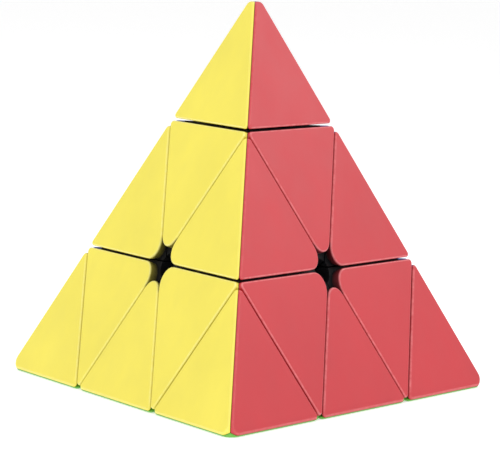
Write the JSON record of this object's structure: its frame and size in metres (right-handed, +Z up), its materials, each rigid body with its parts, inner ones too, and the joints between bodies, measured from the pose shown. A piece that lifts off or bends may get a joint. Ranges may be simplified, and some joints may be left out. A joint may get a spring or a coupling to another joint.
{
  "type": "pyramid twisty puzzle",
  "caption": "Pyramid-shaped twisty puzzle with coloured faces, turning tips and layers, and a hidden sprung core of screws and feet.",
  "frame": {"origin": "centre of the core ball, which is the centre of the pyramid", "axes": "+Z up through the top tip; -Y towards the front corner; the base lies level below"},
  "size_m": [0.0984, 0.0855, 0.0804],
  "materials": {
    "yellow_plastic": "satin moulded ABS, frosted",
    "red_plastic": "satin moulded ABS, frosted",
    "green_plastic": "satin moulded ABS, frosted",
    "blue_plastic": "satin moulded ABS, frosted",
    "dark_plastic": "satin moulded black nylon",
    "screw_steel": "zinc-plated steel",
    "spring_steel": "bright drawn spring wire"
  },
  "bodies": {
    "core": {"core_spider": "dark_plastic", "axle_screws": "screw_steel", "axle_springs": "spring_steel", "spring_washers": "screw_steel"},
    "top_corner": {"top_corner_frame": "dark_plastic", "top_corner_blue_cover": "blue_plastic", "top_corner_red_cover": "red_plastic", "top_corner_yellow_cover": "yellow_plastic"},
    "front_corner": {"front_corner_frame": "dark_plastic", "front_corner_green_cover": "green_plastic", "front_corner_red_cover": "red_plastic", "front_corner_yellow_cover": "yellow_plastic"},
    "left_corner": {"left_corner_frame": "dark_plastic", "left_corner_green_cover": "green_plastic", "left_corner_blue_cover": "blue_plastic", "left_corner_yellow_cover": "yellow_plastic"},
    "right_corner": {"right_corner_frame": "dark_plastic", "right_corner_green_cover": "green_plastic", "right_corner_blue_cover": "blue_plastic", "right_corner_red_cover": "red_plastic"},
    "top_tip": {"top_tip_frame": "dark_plastic", "top_tip_blue_cover": "blue_plastic", "top_tip_red_cover": "red_plastic", "top_tip_yellow_cover": "yellow_plastic"},
    "front_tip": {"front_tip_frame": "dark_plastic", "front_tip_green_cover": "green_plastic", "front_tip_red_cover": "red_plastic", "front_tip_yellow_cover": "yellow_plastic"},
    "left_tip": {"left_tip_frame": "dark_plastic", "left_tip_green_cover": "green_plastic", "left_tip_blue_cover": "blue_plastic", "left_tip_yellow_cover": "yellow_plastic"},
    "right_tip": {"right_tip_frame": "dark_plastic", "right_tip_green_cover": "green_plastic", "right_tip_blue_cover": "blue_plastic", "right_tip_red_cover": "red_plastic"},
    "top_front_edge": {"top_front_edge_frame": "dark_plastic", "top_front_edge_red_cover": "red_plastic", "top_front_edge_yellow_cover": "yellow_plastic"},
    "top_left_edge": {"top_left_edge_frame": "dark_plastic", "top_left_edge_blue_cover": "blue_plastic", "top_left_edge_yellow_cover": "yellow_plastic"},
    "top_right_edge": {"top_right_edge_frame": "dark_plastic", "top_right_edge_blue_cover": "blue_plastic", "top_right_edge_red_cover": "red_plastic"},
    "front_left_edge": {"front_left_edge_frame": "dark_plastic", "front_left_edge_green_cover": "green_plastic", "front_left_edge_yellow_cover": "yellow_plastic"},
    "front_right_edge": {"front_right_edge_frame": "dark_plastic", "front_right_edge_green_cover": "green_plastic", "front_right_edge_red_cover": "red_plastic"},
    "left_right_edge": {"left_right_edge_frame": "dark_plastic", "left_right_edge_green_cover": "green_plastic", "left_right_edge_blue_cover": "blue_plastic"}
  },
  "joints": [
    {"name": "top_layer_turn", "type": "hinge", "parent": "core", "child": "top_corner", "pos_m": [0, 0, 0], "axis": [0, 0, 1], "range_deg": [-240, 120]},
    {"name": "front_layer_turn", "type": "hinge", "parent": "core", "child": "front_corner", "pos_m": [0, 0, 0], "axis": [0, -0.9428, -0.3333], "range_deg": [-240, 120]},
    {"name": "left_layer_turn", "type": "hinge", "parent": "core", "child": "left_corner", "pos_m": [0, 0, 0], "axis": [-0.8165, 0.4714, -0.3333], "range_deg": [-240, 120]},
    {"name": "right_layer_turn", "type": "hinge", "parent": "core", "child": "right_corner", "pos_m": [0, 0, 0], "axis": [0.8165, 0.4714, -0.3333], "range_deg": [-240, 120]},
    {"name": "top_tip_turn", "type": "hinge", "parent": "top_corner", "child": "top_tip", "pos_m": [0, 0, 0], "axis": [0, 0, 1], "continuous": true},
    {"name": "front_tip_turn", "type": "hinge", "parent": "front_corner", "child": "front_tip", "pos_m": [0, 0, 0], "axis": [0, -0.9428, -0.3333], "continuous": true},
    {"name": "left_tip_turn", "type": "hinge", "parent": "left_corner", "child": "left_tip", "pos_m": [0, 0, 0], "axis": [-0.8165, 0.4714, -0.3333], "continuous": true},
    {"name": "right_tip_turn", "type": "hinge", "parent": "right_corner", "child": "right_tip", "pos_m": [0, 0, 0], "axis": [0.8165, 0.4714, -0.3333], "continuous": true},
    {"name": "top_front_edge_turn", "type": "hinge", "parent": "top_corner", "child": "top_front_edge", "pos_m": [0, 0, 0], "axis": [0, -0.9428, -0.3333], "range_deg": [-240, 120]},
    {"name": "top_left_edge_turn", "type": "hinge", "parent": "top_corner", "child": "top_left_edge", "pos_m": [0, 0, 0], "axis": [-0.8165, 0.4714, -0.3333], "range_deg": [-240, 120]},
    {"name": "top_right_edge_turn", "type": "hinge", "parent": "top_corner", "child": "top_right_edge", "pos_m": [0, 0, 0], "axis": [0.8165, 0.4714, -0.3333], "range_deg": [-240, 120]},
    {"name": "front_left_edge_turn", "type": "hinge", "parent": "left_corner", "child": "front_left_edge", "pos_m": [0, 0, 0], "axis": [0, -0.9428, -0.3333], "range_deg": [-240, 120]},
    {"name": "front_right_edge_turn", "type": "hinge", "parent": "front_corner", "child": "front_right_edge", "pos_m": [0, 0, 0], "axis": [0.8165, 0.4714, -0.3333], "range_deg": [-240, 120]},
    {"name": "left_right_edge_turn", "type": "hinge", "parent": "right_corner", "child": "left_right_edge", "pos_m": [0, 0, 0], "axis": [-0.8165, 0.4714, -0.3333], "range_deg": [-240, 120]}
  ],
  "couplings": [
    {"joint": "top_front_edge_turn", "follows": "front_layer_turn", "ratio": 1},
    {"joint": "top_left_edge_turn", "follows": "left_layer_turn", "ratio": 1},
    {"joint": "top_right_edge_turn", "follows": "right_layer_turn", "ratio": 1},
    {"joint": "front_left_edge_turn", "follows": "front_layer_turn", "ratio": 1},
    {"joint": "front_right_edge_turn", "follows": "right_layer_turn", "ratio": 1},
    {"joint": "left_right_edge_turn", "follows": "left_layer_turn", "ratio": 1}
  ]
}
